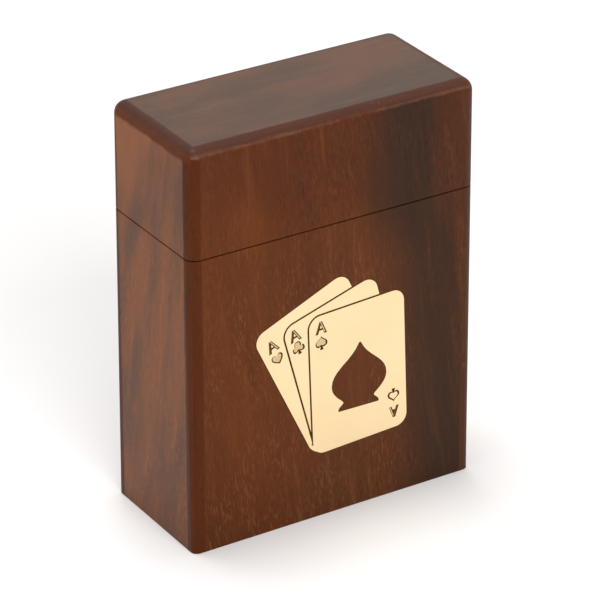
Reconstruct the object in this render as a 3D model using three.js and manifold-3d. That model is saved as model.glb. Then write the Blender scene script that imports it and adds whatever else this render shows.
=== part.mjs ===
// A wooden box for one deck of playing cards, with a lift-off lid and a brass inlay.
//
// Millimetres, +Z up. The origin is the middle of the underside, the front faces -Y.
// The body and the lid are mitred from boards whose grain runs through both of them. A thin
// liner stands proud of the body's rim and keeps the lid in place. Two thin brass plates,
// three fanned aces, lie flush in a shallow pocket in the front.

import * as THREE from "three";
import { ConvexGeometry } from "three/addons/geometries/ConvexGeometry.js";
import { LoftGeometry } from "three/addons/geometries/LoftGeometry.js";
import { mergeVertices } from "three/addons/utils/BufferGeometryUtils.js";
import Module from "manifold-3d";

// Overall size of the closed box, and the saw line that parts lid and body.
const boxWidth = 82.5;
const boxDepth = 38;
const bodyHeight = 81;
const lidHeight = 29;
const boxHeight = bodyHeight + lidHeight;
const seamGap = 0.3;

// The boards, and how deep the rebate is round the bottom board's upper edge.
const wallThickness = 6;
const bottomThickness = 6;
const bottomRebate = 2;
const topThickness = 6.5;

// The liner, which stands in that rebate, its play round the raised middle of the bottom
// board, and the play of the lid that slides over it.
const linerThickness = 2;
const linerLip = 9;
const floorPlay = 0.15;
const lidPlay = 0.3;

// The worn bevels of the upright edges and of the top edges: how far each one reaches onto the
// faces beside it, and the angle at which its curved face meets them. The bottom edges are
// sharp, and at the corners of the top face this share of the upright bevel is left.
const edgeBevel = 3.3;
const topBevel = 3.1;
const bevelBreak = 15;
const topCornerShare = 0.15;

// The inlay: its thickness, the saw slit between its plates, the fit in the pocket, and the
// depth of the marks punched into it.
const inlayThickness = 1;
const inlaySlit = 0.5;
const pocketPlay = 0.15;
const markDepth = 0.25;

// The fan's bottom corner, from the middle of the body's front.
const fanLeft = 6.3;
const fanDrop = 22.5;

// The three cards. lean is the angle of the side edges from upright, tilt that of the top and
// bottom edges from level, and right and up place the card's bottom left corner in the fan.
const cardCorner = 3.3;
const heartCard = { right: 0, up: 0, width: 29, height: 41.6, lean: 25.15, tilt: 23.3 };
const clubCard = { right: 1.2, up: 0.2, width: 28, height: 39.05, lean: 15.3, tilt: 17 };
const spadeCard = { right: 0.1, up: -0.1, width: 28, height: 38.95, lean: 2.35, tilt: 2.95 };

// The big spade cut through the front card, from that card's bottom left corner.
const bigSpade = { across: 14.2, up: 9.6, width: 16.3, height: 18.3, lean: -0.9 };

// The punched marks: an open letter and a smaller filled one, three suit marks, and the stem of
// two of them. The shares place the letter's bar, and set its thickness, the width of the tip
// and how far the hole stays below the tip, the last three as shares of the stroke.
const openLetter = { width: 3.6, height: 3.6, stroke: 0.95 };
const filledLetter = { width: 3.2, height: 3.3, stroke: 0.95 };
const letterShares = { bar: 0.3, barThickness: 0.62, tipWidth: 0.9, aboveHole: 1.2 };
const heartMark = { width: 3.6, height: 3.15 };
const clubMark = { width: 3.75, height: 3.9 };
const spadeMark = { width: 3.75, height: 4 };
const stem = { width: 1.15, height: 1.2 };

// The indexes: a letter over a suit mark. across and down place each one's middle from the
// card's corner, along its edges. The lower one stands upside down, and its suit mark is only a
// groove round an island of this share of its size.
const heartIndex = { letter: { across: 3.7, down: 5.4 }, suit: { across: 3.55, down: 9.6 } };
const clubIndex = { letter: { across: 2.85, down: 3.35 }, suit: { across: 2.95, down: 7.05 } };
const spadeIndex = { letter: { across: 3.5, down: 3.4 }, suit: { across: 3.5, down: 7.65 } };
const lowerIndex = { letter: { across: 3.8, down: 4.5 }, suit: { across: 3.8, down: 9.25 } };
const islandShare = 0.75;

// How far a cutting solid runs past the face that it cuts.
const overrun = 2;

// Steps of the curved stretches. The odd count lets a mitre cross the middle of a facet.
const bevelSteps = 9;
const cornerSteps = 7;
const curveSteps = 7;

const radians = THREE.MathUtils.degToRad;

const wasm = await Module();
wasm.setup();

const wood = {
  front: new THREE.MeshStandardMaterial({ color: 0x64381f, roughness: 0.42, metalness: 0 }),
  side: new THREE.MeshStandardMaterial({ color: 0x6e4329, roughness: 0.42, metalness: 0 }),
  top: new THREE.MeshStandardMaterial({ color: 0x5f3824, roughness: 0.42, metalness: 0 }),
  liner: new THREE.MeshStandardMaterial({ color: 0x8a5c3a, roughness: 0.6, metalness: 0 }),
};
const brass = new THREE.MeshStandardMaterial({ color: 0xe3bf73, roughness: 0.3, metalness: 1 });

// A closed three.js geometry as a solid that can be cut and joined.
function solidFrom(geometry) {
  const bare = new THREE.BufferGeometry();
  bare.setAttribute("position", geometry.getAttribute("position"));
  bare.setIndex(geometry.getIndex());
  const merged = mergeVertices(bare);
  return new wasm.Manifold(
    new wasm.Mesh({
      numProp: 3,
      vertProperties: merged.attributes.position.array,
      triVerts: new Uint32Array(merged.index.array),
    }),
  );
}

// A solid as a named mesh.
function meshFrom(name, solid, material) {
  const { vertProperties, triVerts } = solid.getMesh();
  const geometry = new THREE.BufferGeometry();
  geometry.setAttribute("position", new THREE.BufferAttribute(vertProperties, 3));
  geometry.setIndex(new THREE.BufferAttribute(triVerts, 1));
  geometry.computeVertexNormals();
  const mesh = new THREE.Mesh(geometry, material);
  mesh.name = name;
  return mesh;
}

// A plain rectangular block between two corners.
function block(low, high) {
  const size = new THREE.Vector3().subVectors(high, low);
  const geometry = new THREE.BoxGeometry(size.x, size.y, size.z);
  geometry.translate((low.x + high.x) / 2, (low.y + high.y) / 2, (low.z + high.z) / 2);
  return solidFrom(geometry);
}

// The profile of a bevel of reach 1, an arc of less than a quarter turn: how far each point has
// come along the face that the arc leaves and in from it.
function bevelProfile() {
  const first = radians(bevelBreak);
  const turn = Math.PI / 2 - 2 * first;
  const reach = Math.cos(first) - Math.sin(first);
  return Array.from({ length: bevelSteps + 1 }, (_, step) => {
    const angle = first + (turn * step) / bevelSteps;
    return {
      along: (Math.sin(angle) - Math.sin(first)) / reach,
      inward: (Math.cos(first) - Math.cos(angle)) / reach,
    };
  });
}

// One level ring of the bevelled block that all the boards are cut from, counterclockwise.
function levelRing(z, inset, bevel) {
  const x = boxWidth / 2 - inset;
  const y = boxDepth / 2 - inset;
  const backRight = bevelProfile().map(
    ({ along, inward }) => new THREE.Vector3(x - bevel * inward, y - bevel * (1 - along), z),
  );
  const mirrored = (points, mirrorX, mirrorY) =>
    points.map((point) => new THREE.Vector3(point.x * mirrorX, point.y * mirrorY, z));
  return [
    ...backRight,
    ...mirrored(backRight, -1, 1).reverse(),
    ...mirrored(backRight, -1, -1),
    ...mirrored(backRight, 1, -1).reverse(),
  ];
}

// The closed box's outside as one solid: sharp below, bevelled at the upright and top edges.
function bevelledBlock() {
  const rings = bevelProfile().map(({ along, inward }) => {
    const bevel = edgeBevel * (1 - (1 - topCornerShare) * inward);
    return levelRing(boxHeight - topBevel * (1 - along), topBevel * inward, bevel);
  });
  rings.unshift(levelRing(0, 0, edgeBevel));
  return solidFrom(new LoftGeometry(rings, { capStart: true, capEnd: true }));
}

// The four corners of a level rectangle about the box's middle, set in from the outside.
function levelCorners(z, inset) {
  const x = boxWidth / 2 - inset;
  const y = boxDepth / 2 - inset;
  return {
    frontLeft: new THREE.Vector3(-x, -y, z),
    frontRight: new THREE.Vector3(x, -y, z),
    backRight: new THREE.Vector3(x, y, z),
    backLeft: new THREE.Vector3(-x, y, z),
  };
}

// Four mitred walls between two heights. The inner face may end lower than the outer one,
// where a mitred top board comes down inside it.
function mitredWalls(blank, thickness, bottom, outerTop, innerTop) {
  const outerLow = levelCorners(bottom, 0);
  const outerHigh = levelCorners(outerTop, 0);
  const innerLow = levelCorners(bottom, thickness);
  const innerHigh = levelCorners(innerTop, thickness);
  const wall = (one, other) =>
    solidFrom(
      new ConvexGeometry(
        [outerLow, outerHigh, innerLow, innerHigh].flatMap((level) => [level[one], level[other]]),
      ),
    ).intersect(blank);
  return {
    front: wall("frontLeft", "frontRight"),
    back: wall("backLeft", "backRight"),
    left: wall("frontLeft", "backLeft"),
    right: wall("frontRight", "backRight"),
  };
}

// The lid's top board, mitred on all four edges.
function mitredTop(blank, thickness) {
  const outer = levelCorners(boxHeight, 0);
  const inner = levelCorners(boxHeight - topThickness, thickness);
  const corners = [...Object.values(outer), ...Object.values(inner)];
  return solidFrom(new ConvexGeometry(corners)).intersect(blank);
}

// The bottom board, let in between the four walls. Its middle stands up inside the liner.
function rebatedBottom() {
  const board = (inset, top) =>
    block(
      new THREE.Vector3(-boxWidth / 2 + inset, -boxDepth / 2 + inset, 0),
      new THREE.Vector3(boxWidth / 2 - inset, boxDepth / 2 - inset, top),
    );
  const middleInset = wallThickness + linerThickness + floorPlay;
  return board(wallThickness, bottomThickness - bottomRebate).add(
    board(middleInset, bottomThickness),
  );
}

// Four thin boards glued inside the walls: front and back at full width, sides between them.
function linerBoards(bottom, top) {
  const x = boxWidth / 2 - wallThickness;
  const y = boxDepth / 2 - wallThickness;
  const innerX = x - linerThickness;
  const innerY = y - linerThickness;
  const board = (x0, y0, x1, y1) =>
    block(new THREE.Vector3(x0, y0, bottom), new THREE.Vector3(x1, y1, top));
  return {
    front: board(-x, -y, x, -innerY),
    back: board(-x, innerY, x, y),
    left: board(-x, -innerY, -innerX, innerY),
    right: board(innerX, -innerY, x, innerY),
  };
}

// A card's own directions on the front face: along its bottom edge and up its left edge.
function cardAxes(card) {
  return {
    across: new THREE.Vector2(Math.cos(radians(card.tilt)), Math.sin(radians(card.tilt))),
    upward: new THREE.Vector2(-Math.sin(radians(card.lean)), Math.cos(radians(card.lean))),
  };
}

// A point of a card, so far across from its left edge and up from its bottom edge.
function cardPoint(card, right, up) {
  const { across, upward } = cardAxes(card);
  return new THREE.Vector2(card.right - fanLeft, card.up + bodyHeight / 2 - fanDrop)
    .addScaledVector(across, right)
    .addScaledVector(upward, up);
}

// A polygon's points, counterclockwise, with every corner rounded by an arc.
function roundedPolygon(corners, radius) {
  return corners.flatMap((corner, index) => {
    const before = corners[(index + corners.length - 1) % corners.length];
    const after = corners[(index + 1) % corners.length];
    const inward = new THREE.Vector2().subVectors(corner, before).normalize();
    const outward = new THREE.Vector2().subVectors(after, corner).normalize();
    const turn = Math.acos(inward.dot(outward));
    const start = corner.clone().addScaledVector(inward, -radius * Math.tan(turn / 2));
    const middle = start.clone().add(new THREE.Vector2(-inward.y, inward.x).setLength(radius));
    return Array.from({ length: cornerSteps + 1 }, (_, step) =>
      start.clone().rotateAround(middle, (turn * step) / cornerSteps),
    );
  });
}

// An outline moved outward by a distance, or inward where the distance is negative.
function grown(points, distance) {
  return points.map((point, index) => {
    const before = points[(index + points.length - 1) % points.length];
    const after = points[(index + 1) % points.length];
    const first = new THREE.Vector2().subVectors(point, before).normalize();
    const second = new THREE.Vector2().subVectors(after, point).normalize();
    const sum = new THREE.Vector2(first.y + second.y, -first.x - second.x);
    return point.clone().addScaledVector(sum, distance / (1 + first.dot(second)));
  });
}

// A card's outline on the front face.
function cardOutline(card) {
  const corners = [
    cardPoint(card, 0, 0),
    cardPoint(card, card.width, 0),
    cardPoint(card, card.width, card.height),
    cardPoint(card, 0, card.height),
  ];
  return roundedPolygon(corners, cardCorner);
}

// The points of a symmetric figure from its right-hand half. The half is a shape's path in
// shares of the half width and of the height, from the bottom middle up to the top middle.
function mirroredFigure(half, { width, height }) {
  const right = half.getPoints(curveSteps).map(
    (share) => new THREE.Vector2((share.x * width) / 2, (share.y - 1 / 2) * height),
  );
  const left = right
    .slice(1, -1)
    .reverse()
    .map((point) => new THREE.Vector2(-point.x, point.y));
  return [...right, ...left];
}

// The right-hand half of the big spade, in shares: foot, flank and the side up to the tip.
function bigSpadeHalf() {
  const half = new THREE.Path();
  half.moveTo(0, 0);
  half.lineTo(0.71, 0);
  half.bezierCurveTo(0.76, 0, 0.74, 0.03, 0.72, 0.05);
  half.bezierCurveTo(0.66, 0.08, 0.56, 0.1, 0.56, 0.13);
  half.bezierCurveTo(0.6, 0.17, 1, 0.26, 1, 0.42);
  half.bezierCurveTo(1, 0.66, 0.3, 0.74, 0.06, 0.975);
  half.quadraticCurveTo(0.03, 1, 0, 1);
  return half;
}

// The right-hand half of a small spade without its stem, in shares.
function spadeHalf() {
  const half = new THREE.Path();
  half.moveTo(0, 0.27);
  half.bezierCurveTo(0.3, 0.12, 1, 0.14, 1, 0.47);
  half.bezierCurveTo(1, 0.7, 0.3, 0.74, 0, 1);
  return half;
}

// The right-hand half of a heart, in shares.
function heartHalf() {
  const half = new THREE.Path();
  half.moveTo(0, 0);
  half.bezierCurveTo(0.35, 0.2, 1, 0.4, 1, 0.7);
  half.bezierCurveTo(1, 1.07, 0.25, 1.12, 0, 0.8);
  return half;
}

// The right-hand half of a club without its stem, in shares: side leaf and top leaf.
function clubHalf() {
  const half = new THREE.Path();
  half.moveTo(0, 0.3);
  half.bezierCurveTo(0.35, 0.1, 1, 0.04, 1, 0.38);
  half.bezierCurveTo(1, 0.6, 0.72, 0.66, 0.46, 0.58);
  half.bezierCurveTo(0.72, 0.76, 0.5, 1, 0, 1);
  return half;
}

// The right-hand half of a small suit mark's stem, in shares.
function stemHalf() {
  const half = new THREE.Path();
  half.moveTo(0, 0);
  half.lineTo(1, 0);
  half.bezierCurveTo(0.5, 0.2, 0.4, 0.5, 0.4, 1);
  half.lineTo(0, 1);
  return half;
}

// The outline of a capital A and of the hole in it, about the letter's middle.
function letterOutlines({ width, height, stroke }) {
  const x = width / 2;
  const y = height / 2;
  const tip = (stroke * letterShares.tipWidth) / 2;
  const holeTop = y - stroke * letterShares.aboveHole;
  const barLow = -y + height * letterShares.bar;
  const barHigh = barLow + stroke * letterShares.barThickness;
  const legInside = (z) => (x - stroke) * ((holeTop - z) / (holeTop + y));
  const outside = [
    [x - stroke, -y],
    [x, -y],
    [tip, y],
    [-tip, y],
    [-x, -y],
    [-x + stroke, -y],
    [-legInside(barLow), barLow],
    [legInside(barLow), barLow],
  ];
  const hole = [
    [-legInside(barHigh), barHigh],
    [legInside(barHigh), barHigh],
    [0, holeTop],
  ];
  return [outside, hole].map((points) => points.map((point) => new THREE.Vector2(...point)));
}

// A flat solid of an outline on the front face, from so deep behind it to so far before it.
function frontPlate(outline, deep, before, hole) {
  const shape = new THREE.Shape(outline);
  if (hole) {
    shape.holes.push(new THREE.Path(hole));
  }
  const options = { depth: deep + before, bevelEnabled: false };
  const geometry = new THREE.ExtrudeGeometry(shape, options);
  geometry.rotateX(Math.PI / 2);
  geometry.translate(0, -boxDepth / 2 + deep, 0);
  return solidFrom(geometry);
}

// Points about the origin, turned and moved to their place on the front face.
function placed(points, place, angle) {
  const origin = new THREE.Vector2();
  return points.map((point) => point.clone().rotateAround(origin, angle).add(place));
}

// A cutting solid for a punched mark, of points about the mark's middle.
function markCut(points, place, angle, hole) {
  const island = hole && placed(hole, place, angle);
  return frontPlate(placed(points, place, angle), markDepth, overrun, island);
}

// The cutting solids of a suit mark and of the stem that it may have below it.
function suitCuts(suit, place, angle, island) {
  const size = suit.size;
  const cuts = [markCut(mirroredFigure(suit.half, size), place, angle, island)];
  if (suit.stemmed) {
    const below = new THREE.Vector2(0, (stem.height - size.height) / 2);
    const foot = below.rotateAround(new THREE.Vector2(), angle).add(place);
    cuts.push(markCut(mirroredFigure(stemHalf(), stem), foot, angle));
  }
  return cuts;
}

// The cutting solids of an index in a card's upper left corner.
function upperIndexCuts(card, index, suit) {
  const place = ({ across, down }) => cardPoint(card, across, card.height - down);
  const angle = radians((card.lean + card.tilt) / 2);
  const [outside, hole] = letterOutlines(openLetter);
  return [
    markCut(outside, place(index.letter), angle, hole),
    ...suitCuts(suit, place(index.suit), angle),
  ];
}

// The cutting solids of the index in a card's lower right corner, upside down.
function lowerIndexCuts(card, index, suit) {
  const place = ({ across, down }) => cardPoint(card, card.width - across, down);
  const angle = radians((card.lean + card.tilt) / 2 + 180);
  const [outside] = letterOutlines(filledLetter);
  const { width, height } = suit.size;
  const islandSize = { width: width * islandShare, height: height * islandShare };
  return [
    markCut(outside, place(index.letter), angle),
    ...suitCuts(suit, place(index.suit), angle, mirroredFigure(suit.half, islandSize)),
  ];
}

const heart = { half: heartHalf(), size: heartMark, stemmed: false };
const club = { half: clubHalf(), size: clubMark, stemmed: true };
const spade = { half: spadeHalf(), size: spadeMark, stemmed: true };

const heartOutline = cardOutline(heartCard);
const clubOutline = cardOutline(clubCard);
const spadeOutline = cardOutline(spadeCard);
const bigSpadeOutline = placed(
  mirroredFigure(bigSpadeHalf(), bigSpade),
  cardPoint(spadeCard, bigSpade.across, bigSpade.up + bigSpade.height / 2),
  radians(bigSpade.lean),
);

// The pocket for the plates. The wood stays standing inside the big spade.
function inlayPocket() {
  const cards = [heartOutline, clubOutline, spadeOutline].map((outline) =>
    frontPlate(grown(outline, pocketPlay), inlayThickness, overrun),
  );
  const island = frontPlate(grown(bigSpadeOutline, -pocketPlay), inlayThickness, overrun);
  return cards[0].add(cards[1]).add(cards[2]).subtract(island);
}

// The heart card and the spade card, one plate: they join at the fan's bottom corner.
function aceInlay() {
  const slit = frontPlate(grown(clubOutline, inlaySlit), inlayThickness + overrun, overrun);
  const cuts = [
    frontPlate(bigSpadeOutline, inlayThickness + overrun, overrun),
    ...upperIndexCuts(heartCard, heartIndex, heart),
    ...upperIndexCuts(spadeCard, spadeIndex, spade),
    ...lowerIndexCuts(spadeCard, lowerIndex, spade),
  ];
  const plate = frontPlate(heartOutline, inlayThickness, 0)
    .subtract(slit)
    .add(frontPlate(spadeOutline, inlayThickness, 0));
  return cuts.reduce((solid, cut) => solid.subtract(cut), plate);
}

// The club card, what shows of it between the two others.
function clubInlay() {
  const slit = frontPlate(grown(spadeOutline, inlaySlit), inlayThickness + overrun, overrun);
  const plate = frontPlate(clubOutline, inlayThickness, 0).subtract(slit);
  const cuts = upperIndexCuts(clubCard, clubIndex, club);
  return cuts.reduce((solid, cut) => solid.subtract(cut), plate);
}

const blank = bevelledBlock();

// The body's four walls, and the liner that stands proud of them.
const bodyWalls = mitredWalls(blank, wallThickness, 0, bodyHeight, bodyHeight);
const liner = linerBoards(bottomThickness - bottomRebate, bodyHeight + linerLip);

// The lid's walls are thinner inside by the play over the liner.
const lidWall = wallThickness - lidPlay;
const lidWalls = mitredWalls(
  blank,
  lidWall,
  bodyHeight + seamGap,
  boxHeight,
  boxHeight - topThickness,
);

const body = new THREE.Group();
body.name = "body";
body.add(
  meshFrom("front_panel", bodyWalls.front.subtract(inlayPocket()), wood.front),
  meshFrom("back_panel", bodyWalls.back, wood.front),
  meshFrom("left_panel", bodyWalls.left, wood.side),
  meshFrom("right_panel", bodyWalls.right, wood.side),
  meshFrom("bottom_panel", rebatedBottom(), wood.top),
  meshFrom("liner_front", liner.front, wood.liner),
  meshFrom("liner_back", liner.back, wood.liner),
  meshFrom("liner_left", liner.left, wood.liner),
  meshFrom("liner_right", liner.right, wood.liner),
  meshFrom("ace_inlay", aceInlay(), brass),
  meshFrom("club_inlay", clubInlay(), brass),
);

const lid = new THREE.Group();
lid.name = "lid";
lid.add(
  meshFrom("lid_front", lidWalls.front, wood.front),
  meshFrom("lid_back", lidWalls.back, wood.front),
  meshFrom("lid_left", lidWalls.left, wood.side),
  meshFrom("lid_right", lidWalls.right, wood.side),
  meshFrom("lid_top", mitredTop(blank, lidWall), wood.top),
);

const cardBox = new THREE.Group();
cardBox.name = "playing_card_box";
cardBox.add(body, lid);

export default cardBox;
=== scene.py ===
"""Looks of a wooden box for one deck of playing cards.

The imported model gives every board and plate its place, in metres, with the front facing -Y.
This script models the boards again with softened edges, lets the two brass plates into the
front, gives each piece its wood or metal, and sets up the floor, the lights and the camera.
"""

import logging
import math
from contextlib import contextmanager
from dataclasses import dataclass
from enum import Enum
from typing import Callable, Iterator

import bmesh
import bpy
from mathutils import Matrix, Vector

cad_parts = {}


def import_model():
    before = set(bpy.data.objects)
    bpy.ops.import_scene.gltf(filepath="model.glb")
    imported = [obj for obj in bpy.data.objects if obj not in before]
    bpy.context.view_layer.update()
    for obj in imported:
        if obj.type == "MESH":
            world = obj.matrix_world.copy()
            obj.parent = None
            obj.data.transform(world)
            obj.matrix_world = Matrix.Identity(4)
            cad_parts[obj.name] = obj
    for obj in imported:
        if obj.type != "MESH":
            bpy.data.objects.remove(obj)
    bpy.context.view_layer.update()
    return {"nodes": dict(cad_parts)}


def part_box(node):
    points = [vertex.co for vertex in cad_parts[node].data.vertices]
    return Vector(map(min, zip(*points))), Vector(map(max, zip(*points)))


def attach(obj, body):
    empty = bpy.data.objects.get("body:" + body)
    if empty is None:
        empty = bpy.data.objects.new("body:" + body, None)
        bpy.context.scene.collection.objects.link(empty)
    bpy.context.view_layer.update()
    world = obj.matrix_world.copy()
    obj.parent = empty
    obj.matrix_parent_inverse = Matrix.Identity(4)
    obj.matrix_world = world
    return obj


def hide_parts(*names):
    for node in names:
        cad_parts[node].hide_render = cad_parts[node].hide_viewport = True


logger = logging.getLogger("card_box")

MM = 0.001

# How close two places count as one, and how close a point may lie to a saw cut.
NEAR = 0.01 * MM
CUT_TOLERANCE = 1e-7

# The bevel profile of a round edge, and the middle of a noise's values.
ROUND = 0.5
NOISE_MIDDLE = 0.5

Colour = tuple[float, float, float]
Triple = tuple[float, float, float]
Place = tuple[float, float]
Range = tuple[float, float]
Socket = bpy.types.NodeSocket
Value = bpy.types.NodeSocket | float
Test = Callable[..., bool]


class Side(Enum):
    """The four upright sides of the box, each with the direction that it faces."""

    FRONT = (0, -1)
    BACK = (0, 1)
    LEFT = (-1, 0)
    RIGHT = (1, 0)

    @property
    def outward(self) -> Vector:
        """The direction that the side faces."""
        return Vector((*self.value, 0))

    @property
    def along(self) -> Vector:
        """The level direction along the side."""
        return Vector((-self.value[1], self.value[0], 0))

    @property
    def word(self) -> str:
        """The side's name as the pieces carry it."""
        return self.name.lower()


class Grain(Enum):
    """Which way a board's grain runs, as the turn that brings it upright."""

    UPRIGHT = (0, 0, 0)
    ALONG_WIDTH = (0, math.pi / 2, 0)


class Lean(Enum):
    """The axis about which a board's grain leans: Y for the front and back, X for the ends."""

    ABOUT_X = (1, 0, 0)
    ABOUT_Y = (0, 1, 0)


class Element(Enum):
    """What is picked in edit mode."""

    POINT = "VERT"
    EDGE = "EDGE"
    FACE = "FACE"


class Joining(Enum):
    """What a boolean does with the solid that is put through another."""

    CUT_AWAY = "DIFFERENCE"
    ADD = "UNION"
    KEEP_SHARED = "INTERSECT"


class Blending(Enum):
    """How one colour is laid over another."""

    COVER = "MIX"
    SHADE = "MULTIPLY"


class Slot(Enum):
    """The material slots."""

    ROSEWOOD = "rosewood"
    LINER_WOOD = "liner_wood"
    INLAY_BRASS = "inlay_brass"


class Part(Enum):
    """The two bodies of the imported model, which move apart."""

    BOX = "box"
    LID = "lid"


def linear(colour: Colour) -> tuple[float, float, float, float]:
    """Turns a screen colour into the linear values that shaders read, by the sRGB curve.

    Args:
        colour: Red, green and blue from 0 to 255.

    Returns:
        The linear red, green and blue, and full opacity.
    """
    shares = [value / 255 for value in colour]
    red, green, blue = [
        share / 12.92 if share <= 0.04045 else ((share + 0.055) / 1.055) ** 2.4 for share in shares
    ]
    return red, green, blue, 1


def select_only(piece: bpy.types.Object) -> None:
    """Selects one object and nothing else, for the operators that follow.

    Args:
        piece: The object.
    """
    bpy.ops.object.select_all(action="DESELECT")
    bpy.context.view_layer.objects.active = piece
    piece.select_set(True)


@contextmanager
def editing(piece: bpy.types.Object, element: Element = Element.EDGE) -> Iterator[None]:
    """Opens a piece in edit mode with nothing picked, and closes it again.

    Args:
        piece: The mesh object to edit.
        element: What can be picked.

    Yields:
        Nothing, while the piece is open.
    """
    select_only(piece)
    bpy.ops.object.mode_set(mode="EDIT")
    bpy.ops.mesh.select_mode(type=element.value)
    bpy.ops.mesh.select_all(action="DESELECT")
    yield
    bpy.ops.object.mode_set(mode="OBJECT")


@dataclass
class Workpiece:
    """A mesh in the making, shaped by edit-mode operators and modifiers."""

    piece: bpy.types.Object

    @classmethod
    def block(cls, name: str, low: Vector, high: Vector) -> "Workpiece":
        """A rectangular blank between two corners.

        Args:
            name: The new object's name.
            low: The lowest corner.
            high: The highest corner.

        Returns:
            The blank, its place in its mesh.
        """
        bpy.ops.object.select_all(action="DESELECT")
        bpy.ops.mesh.primitive_cube_add(size=1, location=(low + high) / 2, scale=high - low)
        blank = cls(bpy.context.object)
        blank.piece.name = name
        blank.settle()
        return blank

    def settle(self) -> None:
        """Moves the object's place, turn and size into its mesh."""
        select_only(self.piece)
        bpy.ops.object.transform_apply(location=True, rotation=True, scale=True)

    def lay(self, place: Place, angle: float) -> None:
        """Turns a flat solid in the plane of the front, and moves it to its place there.

        Args:
            place: Its place, in millimetres across and up.
            angle: Its turn, in degrees counterclockwise.
        """
        self.piece.location = (place[0] * MM, 0, place[1] * MM)
        self.piece.rotation_euler = (0, -math.radians(angle), 0)
        self.settle()

    def copy(self, name: str) -> "Workpiece":
        """A copy with a mesh of its own.

        Args:
            name: The copy's name.

        Returns:
            The copy.
        """
        twin = self.piece.copy()
        twin.data = self.piece.data.copy()
        twin.name = name
        bpy.context.scene.collection.objects.link(twin)
        return Workpiece(twin)

    def discard(self) -> None:
        """Removes the object, once it has been used as a cutter or pattern."""
        bpy.data.objects.remove(self.piece)

    @contextmanager
    def picked(self, element: Element, where: Test) -> Iterator[None]:
        """Opens the mesh in edit mode with the points, edges or faces that a test picks.

        Args:
            element: What is picked.
            where: The test, of the places of all its corners.

        Yields:
            Nothing, while the mesh is open.
        """
        with editing(self.piece, element):
            mesh = bmesh.from_edit_mesh(self.piece.data)
            elements = {
                Element.POINT: mesh.verts,
                Element.EDGE: mesh.edges,
                Element.FACE: mesh.faces,
            }
            for item in elements[element]:
                corners = [item] if element is Element.POINT else item.verts
                item.select_set(where(*(corner.co for corner in corners)))
            bmesh.update_edit_mesh(self.piece.data)
            yield

    def soften(self, where: Test, reach: float, steps: int) -> None:
        """Rounds the edges that a test picks.

        Args:
            where: The test, of an edge's two end points.
            reach: How far the bevel reaches onto the faces beside it.
            steps: The number of strips in the bevel.
        """
        with self.picked(Element.EDGE, where):
            bpy.ops.mesh.bevel(
                offset=reach, segments=steps, profile=ROUND, affect="EDGES", clamp_overlap=False
            )

    def saw(self, point: Vector, outward: Vector) -> None:
        """Saws along a plane, takes off what lies beyond it and closes the cut.

        Args:
            point: A point of the plane.
            outward: The direction of the side that is taken off.
        """
        with editing(self.piece):
            bpy.ops.mesh.select_all(action="SELECT")
            bpy.ops.mesh.bisect(
                plane_co=point,
                plane_no=outward,
                use_fill=True,
                clear_outer=True,
                threshold=CUT_TOLERANCE,
            )

    def combine(self, other: "Workpiece", joining: Joining) -> None:
        """Cuts another solid out of this one, adds it, or keeps what they share.

        Args:
            other: The other solid, which is left as it is.
            joining: What is done with it.
        """
        modifier = self.piece.modifiers.new("combine", "BOOLEAN")
        modifier.object = other.piece
        modifier.operation = joining.value
        modifier.solver = "EXACT"
        self.apply(modifier)

    def use(self, tool: "Workpiece", joining: Joining) -> None:
        """Combines this solid with another that has no other use.

        Args:
            tool: The other solid, which is discarded.
            joining: What is done with it.
        """
        self.combine(tool, joining)
        tool.discard()

    def apply(self, modifier: bpy.types.Modifier) -> None:
        """Applies a modifier of this piece."""
        select_only(self.piece)
        bpy.ops.object.modifier_apply(modifier=modifier.name)

    def finish(
        self, material: bpy.types.Material, slot: Slot, part: Part, break_angle: float
    ) -> None:
        """Shades a piece, gives it its material and lets it ride on its body.

        Args:
            material: The finish.
            slot: Not used.
            part: The body that the piece moves with.
            break_angle: The angle in degrees above which an edge stays crisp.
        """
        select_only(self.piece)
        bpy.ops.object.shade_smooth_by_angle(angle=math.radians(break_angle))
        flatten = self.piece.modifiers.new("flat faces", "WEIGHTED_NORMAL")
        flatten.keep_sharp = True
        self.apply(flatten)
        self.piece.data.materials.clear()
        self.piece.data.materials.append(material)
        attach(self.piece, part.value)
        faces = len(self.piece.data.polygons)
        logger.info("%s: %d faces, rides on %s", self.piece.name, faces, part.value)


def flat_solid(name: str, loop: list[Place], front: float, back: float) -> Workpiece:
    """Models a flat solid from its outline.

    Args:
        name: The solid's name.
        loop: The outline, in millimetres across and up.
        front: The front face, along Y in metres.
        back: The back face.

    Returns:
        The solid.
    """
    curve = bpy.data.curves.new(name, "CURVE")
    curve.dimensions = "2D"
    curve.fill_mode = "NONE"
    spline = curve.splines.new("POLY")
    spline.points.add(len(loop) - 1)
    for point, (across, up) in zip(spline.points, loop):
        point.co = (across * MM, up * MM, 0, 1)
    spline.use_cyclic_u = True
    outline = bpy.data.objects.new(name, curve)
    bpy.context.scene.collection.objects.link(outline)
    select_only(outline)
    bpy.ops.object.convert(target="MESH")
    solid = Workpiece(bpy.context.object)
    solid.piece.rotation_euler = (math.pi / 2, 0, 0)
    solid.piece.location = (0, front, 0)
    solid.settle()
    with editing(solid.piece):
        bpy.ops.mesh.select_all(action="SELECT")
        bpy.ops.mesh.edge_face_add()
        bpy.ops.mesh.extrude_region_move(TRANSFORM_OT_translate={"value": (0, back - front, 0)})
        bpy.ops.mesh.select_all(action="SELECT")
        bpy.ops.mesh.normals_make_consistent(inside=False)
    return solid


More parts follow.
